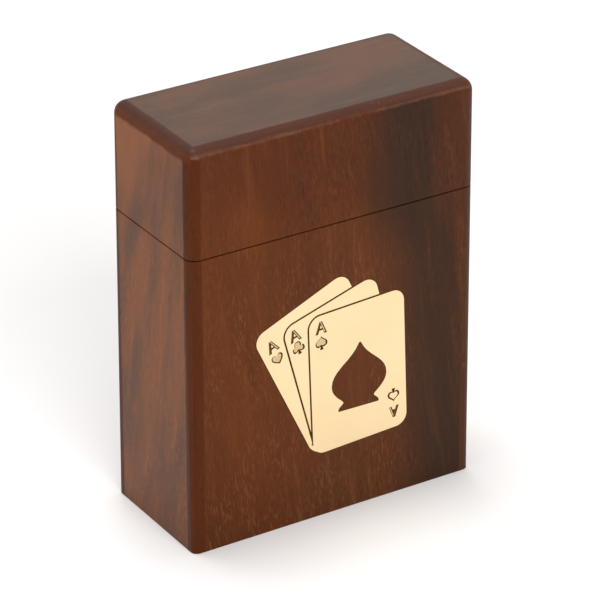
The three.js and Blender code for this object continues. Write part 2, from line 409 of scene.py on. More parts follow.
@contextmanager
def end_picked(solid: Workpiece, level: float) -> Iterator[None]:
    """Opens a flat solid in edit mode with its face at one level picked.

    Args:
        solid: The solid.
        level: Where the face lies, along Y.

    Yields:
        Nothing, while the solid is open.
    """

    def at_level(*corners: Vector) -> bool:
        """Whether a face's corners all lie at the level."""
        return all(abs(corner.y - level) < NEAR for corner in corners)

    with solid.picked(Element.FACE, at_level):
        yield


def slope_end(solid: Workpiece, level: float, slope: float, deep: float) -> None:
    """Draws a flat solid's end in to a smaller face, so that its sides slope there.

    Args:
        solid: The solid.
        level: Where the end face lies, along Y.
        slope: How far the smaller face is set in.
        deep: How far it lies behind the old one.
    """
    with end_picked(solid, level):
        bpy.ops.mesh.inset(thickness=slope, depth=0, use_boundary=True)
        bpy.ops.transform.translate(value=(0, deep, 0))


def taper_end(solid: Workpiece, level: float, share: float, deep: float) -> None:
    """Draws a flat solid's end out to a smaller face of the same form.

    Args:
        solid: The solid, about the origin.
        level: Where the end face lies, along Y.
        share: The smaller face's size as a share of the old one.
        deep: How far it lies behind the old one.
    """
    with end_picked(solid, level):
        bpy.ops.mesh.extrude_region_move(TRANSFORM_OT_translate={"value": (0, deep, 0)})
        bpy.ops.transform.resize(value=(share, 1, share), center_override=(0, level + deep, 0))


@dataclass(frozen=True)
class OuterBlock:
    """The closed box's outside as one solid, from which every board is sawn."""

    width: float = 82.5 * MM
    depth: float = 38 * MM
    height: float = 110 * MM
    edge_bevel: float = 3.3 * MM
    bevel_steps: int = 8
    foot_share: float = 0.55
    break_angle: float = 14.0

    def build(self) -> Workpiece:
        """Models the block: sharp below, with worn bevels at the upright and top edges.

        Returns:
            The block.
        """
        low = Vector((-self.width / 2, -self.depth / 2, 0))
        high = Vector((self.width / 2, self.depth / 2, self.height))
        block = Workpiece.block("outer_block", low, high)

        def above_foot(one: Vector, other: Vector) -> bool:
            """Whether an edge is an upright or a top one."""
            return max(one.z, other.z) > self.height / 2

        block.soften(above_foot, self.edge_bevel, self.bevel_steps)
        for side in (Side.FRONT, Side.BACK):
            for end in (1, -1):
                self.narrow_foot(block, self.corner(side, end))
        return block

    def narrow_foot(self, block: Workpiece, corner: Vector) -> None:
        """Narrows an upright bevel towards the foot, where the edge is less worn.

        Args:
            block: The block.
            corner: The sharp corner at the foot.
        """
        reach = self.edge_bevel * math.sqrt(2) + NEAR
        share = self.foot_share

        def in_bevel(point: Vector) -> bool:
            """Whether a point is one of the bevel's at the foot."""
            return (point - corner).length < reach

        with block.picked(Element.POINT, in_bevel):
            bpy.ops.transform.resize(value=(share, share, 1), center_override=corner)

    def reach(self, side: Side) -> float:
        """How far a side's face lies from the box's middle."""
        return self.depth / 2 if side in (Side.FRONT, Side.BACK) else self.width / 2

    def corner(self, side: Side, end: int, height: float = 0.0) -> Vector:
        """A sharp corner of the box.

        Args:
            side: One of the two sides that meet there.
            end: 1 or -1, towards or against the side's own direction.
            height: The corner's height.

        Returns:
            The corner.
        """
        half = self.width / 2 if side in (Side.FRONT, Side.BACK) else self.depth / 2
        return side.outward * self.reach(side) + side.along * end * half + Vector((0, 0, height))


@dataclass(frozen=True)
class Pattern:
    """A noise: how fine it is along each axis, and from which value to which it sets in."""

    scale: Triple
    detail: float = 2.0
    roughness: float = 0.5
    onset: Range = (0.0, 1.0)
    shift: Triple = (0.0, 0.0, 0.0)


class ShaderTree:
    """The nodes of a material or of the world in the making."""

    def __init__(self, owner: bpy.types.Material | bpy.types.World) -> None:
        """Starts with an empty tree.

        Args:
            owner: The material or the world that the nodes belong to.
        """
        owner.use_nodes = True
        self.owner = owner
        self.tree = owner.node_tree
        self.tree.nodes.clear()

    @classmethod
    def material(cls, name: str) -> "ShaderTree":
        """Starts the empty tree of a new material."""
        return cls(bpy.data.materials.new(name))

    def node(self, kind: str, inputs: dict | None = None, **settings: object) -> bpy.types.Node:
        """Adds a node.

        Args:
            kind: The node's type name, without its ShaderNode start.
            inputs: For each input by name or number, a value or an output to link.
            settings: The node's own settings.

        Returns:
            The node.
        """
        made = self.tree.nodes.new("ShaderNode" + kind)
        for key, value in settings.items():
            setattr(made, key, value)
        for key, value in (inputs or {}).items():
            if isinstance(value, bpy.types.NodeSocket):
                self.tree.links.new(value, made.inputs[key])
            else:
                made.inputs[key].default_value = value
        return made

    def coordinates(self) -> Socket:
        """Places on the piece, in metres."""
        return self.node("TexCoord").outputs["Object"]

    def parts(self, vector: Socket) -> list[Socket]:
        """A vector's X, Y and Z."""
        return list(self.node("SeparateXYZ", {0: vector}).outputs)

    def mapped(self, vector: Socket, **places: object) -> Socket:
        """Coordinates scaled, turned and moved by a Mapping node.

        Args:
            vector: The coordinates.
            places: The node's Location, Rotation and Scale.

        Returns:
            The new coordinates.
        """
        return self.node("Mapping", {"Vector": vector, **places}).outputs[0]

    def pushed(self, vector: Socket, push: Socket, reach: float) -> Socket:
        """Coordinates moved by another vector.

        Args:
            vector: The coordinates.
            push: The other vector.
            reach: How far a push of 1 moves them, in metres.

        Returns:
            The new coordinates.
        """
        inputs = {0: push, 1: (reach, reach, reach), 2: vector}
        return self.node("VectorMath", inputs, operation="MULTIPLY_ADD").outputs[0]

    def noise_node(self, vector: Socket, pattern: Pattern) -> bpy.types.Node:
        """Adds a pattern's noise.

        Args:
            vector: The coordinates.
            pattern: The pattern.

        Returns:
            The node, with a value and a colour.
        """
        inputs = {
            "Vector": self.mapped(vector, Scale=pattern.scale, Location=pattern.shift),
            "Scale": 1,
            "Detail": pattern.detail,
            "Roughness": pattern.roughness,
        }
        return self.node("TexNoise", inputs)

    def noise(self, vector: Socket, pattern: Pattern) -> Socket:
        """A pattern's value, about 0.5 on average."""
        return self.noise_node(vector, pattern).outputs[0]

    def presence(self, vector: Socket, pattern: Pattern) -> Socket:
        """A pattern's share, 0 up to the start of its onset and 1 from its end on."""
        return self.between(self.noise(vector, pattern), *pattern.onset)

    def math(self, operation: str, first: Value, second: Value = 0.0, third: Value = 0.0) -> Socket:
        """A sum of one to three values.

        Args:
            operation: The Math node's operation.
            first: A value or an output.
            second: A value or an output.
            third: A value or an output.

        Returns:
            The result.
        """
        inputs = {0: first, 1: second, 2: third}
        return self.node("Math", inputs, operation=operation).outputs[0]

    def less(self, first: Value, second: Value) -> Socket:
        """One value less another."""
        return self.math("SUBTRACT", first, second)

    def times(self, first: Value, second: Value) -> Socket:
        """One value times another."""
        return self.math("MULTIPLY", first, second)

    def scaled(self, value: Value, factor: Value, offset: Value) -> Socket:
        """A value times a factor, plus an offset."""
        return self.math("MULTIPLY_ADD", value, factor, offset)

    def swayed(self, value: Value, noise: Socket, reach: float) -> Socket:
        """A value that a noise moves both ways, over a reach in all."""
        return self.scaled(self.less(noise, NOISE_MIDDLE), reach, value)

    def at_least(self, share: Socket, least: float) -> Socket:
        """A share that starts from a least value instead of from 0."""
        return self.scaled(share, 1 - least, least)

    def between(self, value: Socket, start: float, end: float) -> Socket:
        """A soft step from 0 to 1.

        Args:
            value: The value that is followed.
            start: Where the step starts from 0.
            end: Where the step reaches 1.

        Returns:
            The step's share.
        """
        inputs = {"Value": value, "From Min": start, "From Max": end}
        return self.node("MapRange", inputs, interpolation_type="SMOOTHSTEP").outputs[0]

    def blend(
        self,
        share: Value,
        first: Socket | Colour,
        second: Socket | Colour,
        blending: Blending = Blending.COVER,
    ) -> Socket:
        """A mix of two colours.

        Args:
            share: How much of the second colour.
            first: A screen colour or an output.
            second: A screen colour or an output.
            blending: How the second is laid over the first.

        Returns:
            The mixed colour.
        """
        inputs = {0: share, 6: first, 7: second}
        for key in (6, 7):
            if isinstance(inputs[key], tuple):
                inputs[key] = linear(inputs[key])
        return self.node("Mix", inputs, data_type="RGBA", blend_type=blending.value).outputs[2]

    def seen_rays(self) -> Socket:
        """1 for what the camera sees straight, mirrored or through glass, else 0.

        Returns:
            The share.
        """
        path = self.node("LightPath").outputs
        seen = self.math("MAXIMUM", path["Is Camera Ray"], path["Is Glossy Ray"])
        return self.math("MAXIMUM", seen, path["Is Transmission Ray"])

    def relief(self, height: Socket, depth: float, strength: float) -> Socket:
        """A bumpy surface's direction.

        Args:
            height: How high the surface stands, as a share.
            depth: The depth of a full share, in metres.
            strength: How strongly it shows.

        Returns:
            The direction.
        """
        inputs = {"Height": height, "Distance": depth, "Strength": strength}
        return self.node("Bump", inputs).outputs[0]

    def surface(self, shader: bpy.types.Node) -> bpy.types.Material:
        """Ends the tree in a surface.

        Args:
            shader: The node whose first output is the surface.

        Returns:
            The material.
        """
        self.node("OutputMaterial", {"Surface": shader.outputs[0]})
        return self.owner


@dataclass(frozen=True)
class Heartwood:
    """A dark streak of heartwood up a board, which drifts sideways towards the foot."""

    colour: Colour = (48, 31, 20)
    at_top: float = 22.5 * MM
    at_middle: float = 30 * MM
    at_foot: float = 33.5 * MM
    bend: Range = (88 * MM, 58 * MM)
    fade_left: float = 16 * MM
    core: float = 3 * MM
    fade_right: float = 8 * MM
    right_rest: float = 0.36
    foot_rest: float = 0.35
    strength: float = 0.95
    middle_loss: float = 0.13
    wave: Pattern = Pattern((160, 160, 26), 3, 0.6)
    wander: float = 4 * MM
    threads: Pattern = Pattern((620, 620, 38), 3, 0.65, (0.5, 0.68), (7, 3, 5))
    fray: float = 10 * MM
    gap_share: float = 0.2

    def share(self, shader: ShaderTree, place: Socket, wood: Socket) -> Socket:
        """Where the streak lies: full in its core, with frayed sides and some paler threads.

        Args:
            shader: The material in the making.
            place: The place on the piece.
            wood: The grain coordinates.

        Returns:
            The share of heartwood.
        """
        across, _, height = shader.parts(place)
        bent = shader.between(height, *self.bend)
        low = shader.between(height, self.bend[1], 0)
        middle = shader.scaled(bent, self.at_middle - self.at_top, self.at_top)
        middle = shader.scaled(low, self.at_foot - self.at_middle, middle)
        threads = shader.noise(wood, self.threads)
        offset = shader.less(across, middle)
        offset = shader.swayed(offset, shader.noise(wood, self.wave), self.wander)
        offset = shader.swayed(offset, threads, self.fray)
        left = shader.between(offset, -self.core - self.fade_left, -self.core)
        right = shader.between(offset, self.core, self.core + self.fade_right)
        rest = shader.scaled(low, self.foot_rest, self.right_rest)
        drop = shader.times(right, shader.less(1.0, rest))
        share = shader.times(left, shader.less(1.0, drop))
        gaps = shader.scaled(shader.between(threads, *self.threads.onset), -self.gap_share, 1)
        share = shader.times(share, gaps)
        strength = shader.scaled(shader.less(bent, low), -self.middle_loss, self.strength)
        return shader.times(share, strength)


@dataclass(frozen=True)
class Tone:
    """A soft change of colour across a board, from one place on an axis to another."""

    axis: Triple
    start: float
    end: float
    colour: Colour
    strength: float

    def share(self, shader: ShaderTree, place: Socket, uneven: Socket) -> Socket:
        """How far the change has come.

        Args:
            shader: The material in the making.
            place: The place on the piece.
            uneven: How far the change runs ahead of its place.

        Returns:
            The share of the new colour.
        """
        along = shader.node("VectorMath", {0: place, 1: self.axis}, operation="DOT_PRODUCT")
        reach = shader.math("ADD", along.outputs["Value"], uneven)
        return shader.times(shader.between(reach, self.start, self.end), self.strength)


@dataclass(frozen=True)
class Flecks:
    """Short curly pale flecks that stand in loose patches, fewer towards the top."""

    strength: float = 0.15
    curl: Pattern = Pattern((420, 420, 260), 1)
    curl_reach: float = 0.9 * MM
    spots: Pattern = Pattern((2500, 2500, 360), 2, 0.6, (0.5, 0.68))
    patches: Pattern = Pattern((90, 90, 45), 1, onset=(0.4, 0.6), shift=(2, 5, 3))
    between_patches: float = 0.35
    thinning: Range = (88 * MM, 62 * MM)
    at_top: float = 0.4

    def share(self, shader: ShaderTree, place: Socket, wood: Socket) -> Socket:
        """Where the flecks are.

        Args:
            shader: The material in the making.
            place: The place on the piece.
            wood: The grain coordinates.

        Returns:
            The share of fleck.
        """
        curl = shader.noise_node(wood, self.curl).outputs["Color"]
        spots = shader.presence(shader.pushed(wood, curl, self.curl_reach), self.spots)
        patches = shader.at_least(shader.presence(wood, self.patches), self.between_patches)
        height = shader.parts(place)[2]
        low = shader.at_least(shader.between(height, *self.thinning), self.at_top)
        strength = shader.times(patches, shader.times(low, self.strength))
        return shader.times(spots, strength)


@dataclass(frozen=True)
class BevelShadeAndWear:
    """The bevels of the closed box, darker by painted shade, and the spots rubbed bare on them."""

    # left and right: the upright bevels' painted shade, from the left of the box to its right.
    left: Colour
    right: Colour
    # Round the top bevel, rim_high, the upper part, is a painted dark reflection; rim_low, below
    # it, is painted shade, and where it is set lighter, as on the front, a painted highlight.
    rim_low: Colour = (84, 38, 12)
    rim_high: Colour = (67, 37, 26)
    bare: Colour = (156, 104, 74)
    strength: float = 0.9
    rim_height: float = 3.3 * MM
    rim_softness: float = 0.4
    wobble: Pattern = Pattern((200, 200, 200))
    wobble_reach: float = 0.7 * MM
    onset: Range = (-0.1 * MM, 0.35 * MM)
    wave: Pattern = Pattern((110, 110, 500), 2, 0.6)
    wave_reach: float = 1.2 * MM
    rim_change: Range = (2.1 * MM, 0.9 * MM)
    rim_blur: float = 0.2 * MM
    side_change: Range = (-10 * MM, 10 * MM)
    chips: Pattern = Pattern((800, 800, 600), 3, 0.7, (0.6, 0.76))
    chip_patches: Pattern = Pattern((70, 70, 70), 1, onset=(0.52, 0.66), shift=(3, 1, 6))
    chip_strength: float = 0.4

    def share(self, shader: ShaderTree, place: Socket, outer: OuterBlock) -> Socket:
        """Where two or three faces run together.

        Args:
            shader: The material in the making.
            place: The place on the piece.
            outer: The closed box.

        Returns:
            The share of bevel, where the painted shade and the rubbed spots go.
        """
        reaches = (outer.width / 2, outer.depth / 2, outer.height)
        bevels = (outer.edge_bevel, outer.edge_bevel, self.rim_height)
        inside = []
        for part, reach, bevel in zip(shader.parts(place), reaches, bevels):
            inside.append(shader.less(shader.math("ABSOLUTE", part), reach - bevel))
        rim = shader.times(inside[2], self.rim_softness)
        both = shader.math("MINIMUM", inside[0], inside[1])
        either = shader.math("MAXIMUM", inside[0], inside[1])
        second = shader.math("MAXIMUM", both, shader.math("MINIMUM", either, rim))
        second = shader.swayed(second, shader.noise(place, self.wobble), self.wobble_reach)
        return shader.between(second, *self.onset)

    def colour(self, shader: ShaderTree, place: Socket, outer: OuterBlock) -> Socket:
        """The bevels' painted shade, which changes in two steps round the top edge: a painted dark
        reflection above, and below it a lighter colour, on the front a painted highlight.

        Args:
            shader: The material in the making.
            place: The place on the piece.
            outer: The closed box.

        Returns:
            The colour.
        """
        across, _, height = shader.parts(place)
        waved = shader.swayed(height, shader.noise(place, self.wave), self.wave_reach)
        start, end = (outer.height - drop for drop in self.rim_change)
        rim = shader.blend(shader.between(waved, start, end), self.rim_low, self.rim_high)
        upright = shader.blend(shader.between(across, *self.side_change), self.left, self.right)
        low = outer.height - self.rim_height
        in_rim = shader.between(height, low - self.rim_blur, low + self.rim_blur)
        return shader.blend(in_rim, upright, rim)

    def over(
        self, shader: ShaderTree, place: Socket, outer: OuterBlock, wood_colour: Socket
    ) -> Socket:
        """Lays the bevels' painted shade over the wood, and a few spots where the finish is rubbed
        off.

        Args:
            shader: The material in the making.
            place: The place on the piece.
            outer: The closed box.
            wood_colour: The wood's colour.

        Returns:
            The colour with the edges.
        """
        shade_and_wear = self.share(shader, place, outer)
        edge_colour = self.colour(shader, place, outer)
        # Painted shade on the bevels; the rubbed spots below are real wear.
        colour = shader.blend(shader.times(shade_and_wear, self.strength), wood_colour, edge_colour)
        chips = shader.presence(place, self.chips)
        few = shader.times(chips, shader.presence(place, self.chip_patches))
        rubbed = shader.times(few, shader.times(shade_and_wear, self.chip_strength))
        return shader.blend(rubbed, colour, self.bare)


@dataclass(frozen=True)
class RosewoodFinish:
    """Satin rosewood: red-brown, softly figured, darker on the bevels by painted shade, with a few
    spots rubbed bare.
    """

    name: str
    base: Colour
    second: Colour
    pale: Colour
    edges: BevelShadeAndWear
    grain: Grain = Grain.UPRIGHT
    lean: float = 0.0
    lean_axis: Lean = Lean.ABOUT_Y
    seed: Place = (0.0, 0.0)
    grain_wave: Pattern = Pattern((24, 24, 14))
    grain_wander: float = 6 * MM
    figure_scale: Place = (70.0, 12.0)
    figure_detail: float = 3.0
    figure_roughness: float = 0.55
    figure_onset: Range = (0.36, 0.66)
    drift: float = 1.0
    tones: tuple[Tone, ...] = ()
    tone_wave: Pattern = Pattern((60, 60, 25))
    tone_wander: float = 14 * MM
    heartwood: Heartwood | None = None
    flecks: Flecks = Flecks()
    lines: Pattern = Pattern((420, 420, 24), 3, 0.6, (0.55, 0.75))
    pale_strength: float = 0.3
    line_strength: float = 0.35
    ripple: Pattern = Pattern((1700, 1700, 420), 2, 0.6)
    ripple_patches: Pattern = Pattern((75, 75, 30), 1, onset=(0.4, 0.62), shift=(4, 8, 1))
    ripple_between_patches: float = 0.2
    ripple_strength: float = 0.6
    pores: Pattern = Pattern((2600, 2600, 230), 1, onset=(0.68, 0.78))
    pore_darkness: float = 0.35
    roughness: float = 0.4
    roughness_swing: float = 0.12
    gloss_level: float = 0.28
    gloss_index: float = 1.25
    pore_relief: float = 0.8
    ripple_relief: float = 0.4
    relief_depth: float = 0.03 * MM
    relief_strength: float = 0.6

    def material(self, outer: OuterBlock) -> bpy.types.Material:
        """Builds the finish.

        Args:
            outer: The closed box, whose bevels get the painted shade and the rubbed spots.

        Returns:
            The material.
        """
        shader = ShaderTree.material(self.name)
        place = shader.coordinates()
        wood = self.grain_space(shader, place)
        lines = shader.noise(wood, self.lines)
        ripple = shader.noise(wood, self.ripple)
        pores = shader.presence(wood, self.pores)
        colour = self.with_tones(shader, place, wood, self.figured(shader, wood))
        pale = shader.times(shader.between(lines, *self.lines.onset), self.pale_strength)
        colour = shader.blend(pale, colour, self.pale)
        colour = shader.blend(self.flecks.share(shader, place, wood), colour, self.pale)
        if self.heartwood is not None:
            streak = self.heartwood.share(shader, place, wood)
            colour = shader.blend(streak, colour, self.heartwood.colour)
        # Painted shade on the bevels, and spots rubbed bare there.
        colour = self.edges.over(shader, place, outer, colour)
        shade = self.shade(shader, wood, lines, ripple, pores)
        colour = shader.blend(1.0, colour, shade, Blending.SHADE)
        height = shader.scaled(pores, -self.pore_relief, shader.times(ripple, self.ripple_relief))
        swing = self.roughness_swing
        inputs = {
            "Base Color": colour,
            "Roughness": shader.scaled(lines, swing, self.roughness - swing / 2),
            "IOR": self.gloss_index,
            "Specular IOR Level": self.gloss_level,
            "Normal": shader.relief(height, self.relief_depth, self.relief_strength),
        }
        return shader.surface(shader.node("BsdfPrincipled", inputs))

    def grain_space(self, shader: ShaderTree, place: Socket) -> Socket:
        """Coordinates whose Z runs along the grain, slightly wavy.

        Args:
            shader: The material in the making.
            place: The place on the piece.

        Returns:
            The coordinates, in metres.
        """
        turned = shader.mapped(place, Rotation=self.grain.value)
        angle = math.radians(self.lean)
        lean = tuple(angle * share for share in self.lean_axis.value)
        leaned = shader.mapped(turned, Rotation=lean, Location=(*self.seed, 0))
        wave = shader.noise_node(leaned, self.grain_wave).outputs["Color"]
        inputs = {0: wave, 1: (NOISE_MIDDLE, NOISE_MIDDLE, NOISE_MIDDLE)}
        centred = shader.node("VectorMath", inputs, operation="SUBTRACT").outputs[0]
        return shader.pushed(leaned, centred, self.grain_wander)

    def figured(self, shader: ShaderTree, wood: Socket) -> Socket:
        """The wood's two colours in broad stripes.

        Args:
            shader: The material in the making.
            wood: The grain coordinates.

        Returns:
            The colour.
        """
        across, along = self.figure_scale
        scale = (across, across, along)
        figure = Pattern(scale, self.figure_detail, self.figure_roughness, self.figure_onset)
        drift = shader.times(shader.presence(wood, figure), self.drift)
        return shader.blend(drift, self.base, self.second)

    def with_tones(
        self, shader: ShaderTree, place: Socket, wood: Socket, colour: Socket
    ) -> Socket:
        """Lays the board's soft changes of tone over the wood.

        Args:
            shader: The material in the making.
            place: The place on the piece.
            wood: The grain coordinates.
            colour: The wood's colour so far.

        Returns:
            The colour with the changes.
        """
        if not self.tones:
            return colour
        wave = shader.noise(wood, self.tone_wave)
        uneven = shader.times(shader.less(wave, NOISE_MIDDLE), self.tone_wander)
        for tone in self.tones:
            colour = shader.blend(tone.share(shader, place, uneven), colour, tone.colour)
        return colour

    def shade(
        self, shader: ShaderTree, wood: Socket, lines: Socket, ripple: Socket, pores: Socket
    ) -> Socket:
        """How light or dark the fine lines, the ripple and the pores make the wood.

        Args:
            shader: The material in the making.
            wood: The grain coordinates.
            lines: The noise of the fine lines.
            ripple: The noise of the ripple, which is stronger in patches.
            pores: The share of open pore.

        Returns:
            What the colour is multiplied by, about 1.
        """
        patches = shader.presence(wood, self.ripple_patches)
        strong = shader.at_least(patches, self.ripple_between_patches)
        depth = shader.times(shader.less(ripple, NOISE_MIDDLE), strong)
        shade = shader.scaled(depth, self.ripple_strength, 1)
        shade = shader.swayed(shade, lines, self.line_strength)
        return shader.scaled(pores, -self.pore_darkness, shade)


@dataclass(frozen=True)
class BrassFinish:
    """Polished brass with a fine brushed lay, darker and matt inside its punched marks."""

    front: float
    mark_depth: float
    name: str = "inlay_brass"
    face: Colour = (242, 216, 172)
    cloud: Colour = (239, 213, 168)
    wall: Colour = (76, 54, 15)
    floor: Colour = (211, 185, 146)
    clouds: Pattern = Pattern((70, 70, 70), onset=(0.35, 0.75))
    lay: Pattern = Pattern((260, 260, 4200))
    wall_onset: Range = (0.01 * MM, 0.04 * MM)
    floor_blur: float = 0.02 * MM
    roughness: float = 0.36
    roughness_swing: float = 0.12
    sunk_roughness: float = 0.3
    relief_depth: float = 0.01 * MM
    relief_strength: float = 0.3

    def material(self) -> bpy.types.Material:
        """Builds the finish.

        Returns:
            The material.
        """
        shader = ShaderTree.material(self.name)
        place = shader.coordinates()
        depth = shader.parts(place)[1]
        start, end = (self.front + onset for onset in self.wall_onset)
        sunk = shader.between(depth, start, end)
        bottom = self.front + self.mark_depth
        at_bottom = shader.between(depth, bottom - self.floor_blur, bottom)
        lay = shader.noise(place, self.lay)
        face = shader.blend(shader.presence(place, self.clouds), self.face, self.cloud)
        marked = shader.blend(at_bottom, self.wall, self.floor)
        swing = self.roughness_swing
        polish = shader.scaled(lay, swing, self.roughness - swing / 2)
        inputs = {
            "Base Color": shader.blend(sunk, face, marked),
            "Metallic": 1.0,
            "Roughness": shader.scaled(sunk, self.sunk_roughness, polish),
            "Normal": shader.relief(lay, self.relief_depth, self.relief_strength),
        }
        return shader.surface(shader.node("BsdfPrincipled", inputs))


@dataclass(frozen=True)
class FillerFinish:
    """The dark filler that closes the slits and the fine gap round the plates."""

    name: str = "dark_filler"
    light: Colour = (80, 56, 12)
    dark: Colour = (54, 37, 6)
    crumbs: Pattern = Pattern((700, 700, 700), 3, onset=(0.3, 0.7))
    roughness: float = 0.4
    roughness_rise: float = 0.3
    gloss_level: float = 0.0
    gloss_index: float = 1.2
    relief_depth: float = 0.04 * MM
    relief_strength: float = 0.5

    def material(self) -> bpy.types.Material:
        """Builds the finish.

        Returns:
            The material.
        """
        shader = ShaderTree.material(self.name)
        crumbs = shader.noise(shader.coordinates(), self.crumbs)
        light = shader.between(crumbs, *self.crumbs.onset)
        inputs = {
            "Base Color": shader.blend(light, self.dark, self.light),
            "Roughness": shader.scaled(crumbs, self.roughness_rise, self.roughness),
            "IOR": self.gloss_index,
            "Specular IOR Level": self.gloss_level,
            "Normal": shader.relief(crumbs, self.relief_depth, self.relief_strength),
        }
        return shader.surface(shader.node("BsdfPrincipled", inputs))


@dataclass(frozen=True)
class FloorFinish:
    """A pale plain floor that shows white, and keeps the soft shadow of what stands on it."""

    name: str = "pale_floor"
    colour: Colour = (229, 227, 226)
    cloud: Colour = (226, 224, 223)
    clouds: Pattern = Pattern((3, 3, 3))
    lift: float = 0.03

    def material(self) -> bpy.types.Material:
        """Builds the finish.

        Returns:
            The material.
        """
        shader = ShaderTree.material(self.name)
        clouds = shader.noise(shader.coordinates(), self.clouds)
        matt = shader.node("BsdfDiffuse", {"Color": shader.blend(clouds, self.colour, self.cloud)})
        glow = shader.node("Emission", {"Strength": shader.times(shader.seen_rays(), self.lift)})
        return shader.surface(shader.node("AddShader", {0: matt.outputs[0], 1: glow.outputs[0]}))


@dataclass(frozen=True)
class MitredWall:
    """One wall of the lid or of the body, sawn from the outer block."""

    outer: OuterBlock
    side: Side
    thickness: float
    bottom: float
    top: float
    top_board: float = 0.0
    arris: float = 0.18 * MM
    arris_steps: int = 2
    outer_share: float = 0.25

    def build(self, name: str, block: Workpiece) -> Workpiece:
        """Saws the wall and softens its arrises at the saw line and at the foot.

        Args:
            name: The wall's name.
            block: The outer block.

        Returns:
            The wall.
        """
        wall = block.copy(name)
        outward = self.side.outward
        if self.bottom > 0:
            wall.saw(Vector((0, 0, self.bottom)), Vector((0, 0, -1)))
        if self.top_board > 0:
            edge = outward * self.outer.reach(self.side) + Vector((0, 0, self.top))
            wall.saw(edge, outward * -self.top_board + Vector((0, 0, self.thickness)))
        else:
            wall.saw(Vector((0, 0, self.top)), Vector((0, 0, 1)))
        wall.saw(outward * (self.outer.reach(self.side) - self.thickness), -outward)
        for end in (1, -1):
            wall.saw(self.outer.corner(self.side, end), self.side.along * end - outward)
        wall.soften(self.is_outer_arris, self.arris, self.arris_steps)
        return wall

    def is_outer_arris(self, one: Vector, other: Vector) -> bool:
        """Whether an edge of the wall runs along the outside at the saw line or at the foot.

        Args:
            one: One end of the edge.
            other: The other end.

        Returns:
            Whether it does, and isn't an edge of the mitres.
        """
        outward, along = self.side.outward, self.side.along
        reach = self.outer.reach(self.side)
        saw_line = self.bottom if self.top_board > 0 else self.top
        at_saw_line = max(abs(one.z - saw_line), abs(other.z - saw_line)) < NEAR
        at_foot = self.bottom == 0 and max(one.z, other.z) < NEAR
        inside = reach - self.thickness * (1 - self.outer_share)
        outside = min(one.dot(outward), other.dot(outward)) > inside
        middle = (one + other) / 2
        half = abs(self.outer.corner(self.side, 1).dot(along))
        from_end = half - abs(middle.dot(along))
        from_face = reach - middle.dot(outward)
        in_mitre = abs(from_end - from_face) < NEAR
        return (at_saw_line or at_foot) and outside and not in_mitre


@dataclass(frozen=True)
class CardBlank:
    """One of the fanned cards: its size, and how it lies on the front, in millimetres."""

    right: float
    up: float
    width: float
    height: float
    lean: float
    tilt: float
    corner: float = 3.3
    corner_steps: int = 12

    def point(self, fan: Place, right: float, up: float) -> Place:
        """A place on the card, in millimetres on the front.

        Args:
            fan: The fan's bottom corner.
            right: How far across the card.
            up: How far up the card.

        Returns:
            The place, across and up.
        """
        tilt = math.radians(self.tilt)
        lean = math.radians(self.lean)
        return (
            fan[0] + self.right + right * math.cos(tilt) - up * math.sin(lean),
            fan[1] + self.up + right * math.sin(tilt) + up * math.cos(lean),
        )

    def solid(self, name: str, fan: Place, grow: float, front: float, back: float) -> Workpiece:
        """Models the card as a flat solid.

        Args:
            name: The solid's name.
            fan: The fan's bottom corner, in millimetres.
            grow: How far its outline stands outside the card's.
            front: The solid's front face, along Y in metres.
            back: Its back face.

        Returns:
            The solid.
        """
        low = Vector((-grow * MM, front, -grow * MM))
        high = Vector(((self.width + grow) * MM, back, (self.height + grow) * MM))
        card = Workpiece.block(name, low, high)

        def across(one: Vector, other: Vector) -> bool:
            """Whether an edge runs from the front face to the back one."""
            return abs(one.y - other.y) > (back - front) / 2

        def in_upper_half(point: Vector) -> bool:
            """Whether a point belongs to the card's upper end."""
            return point.z > self.height * MM / 2

        card.soften(across, (self.corner + grow) * MM, self.corner_steps)
        skew = math.sin(math.radians(self.tilt)) - math.sin(math.radians(self.lean))
        with card.picked(Element.POINT, in_upper_half):
            bpy.ops.transform.translate(value=(self.height * MM * skew, 0, 0))
        card.lay(self.point(fan, 0, 0), self.tilt)
        return card


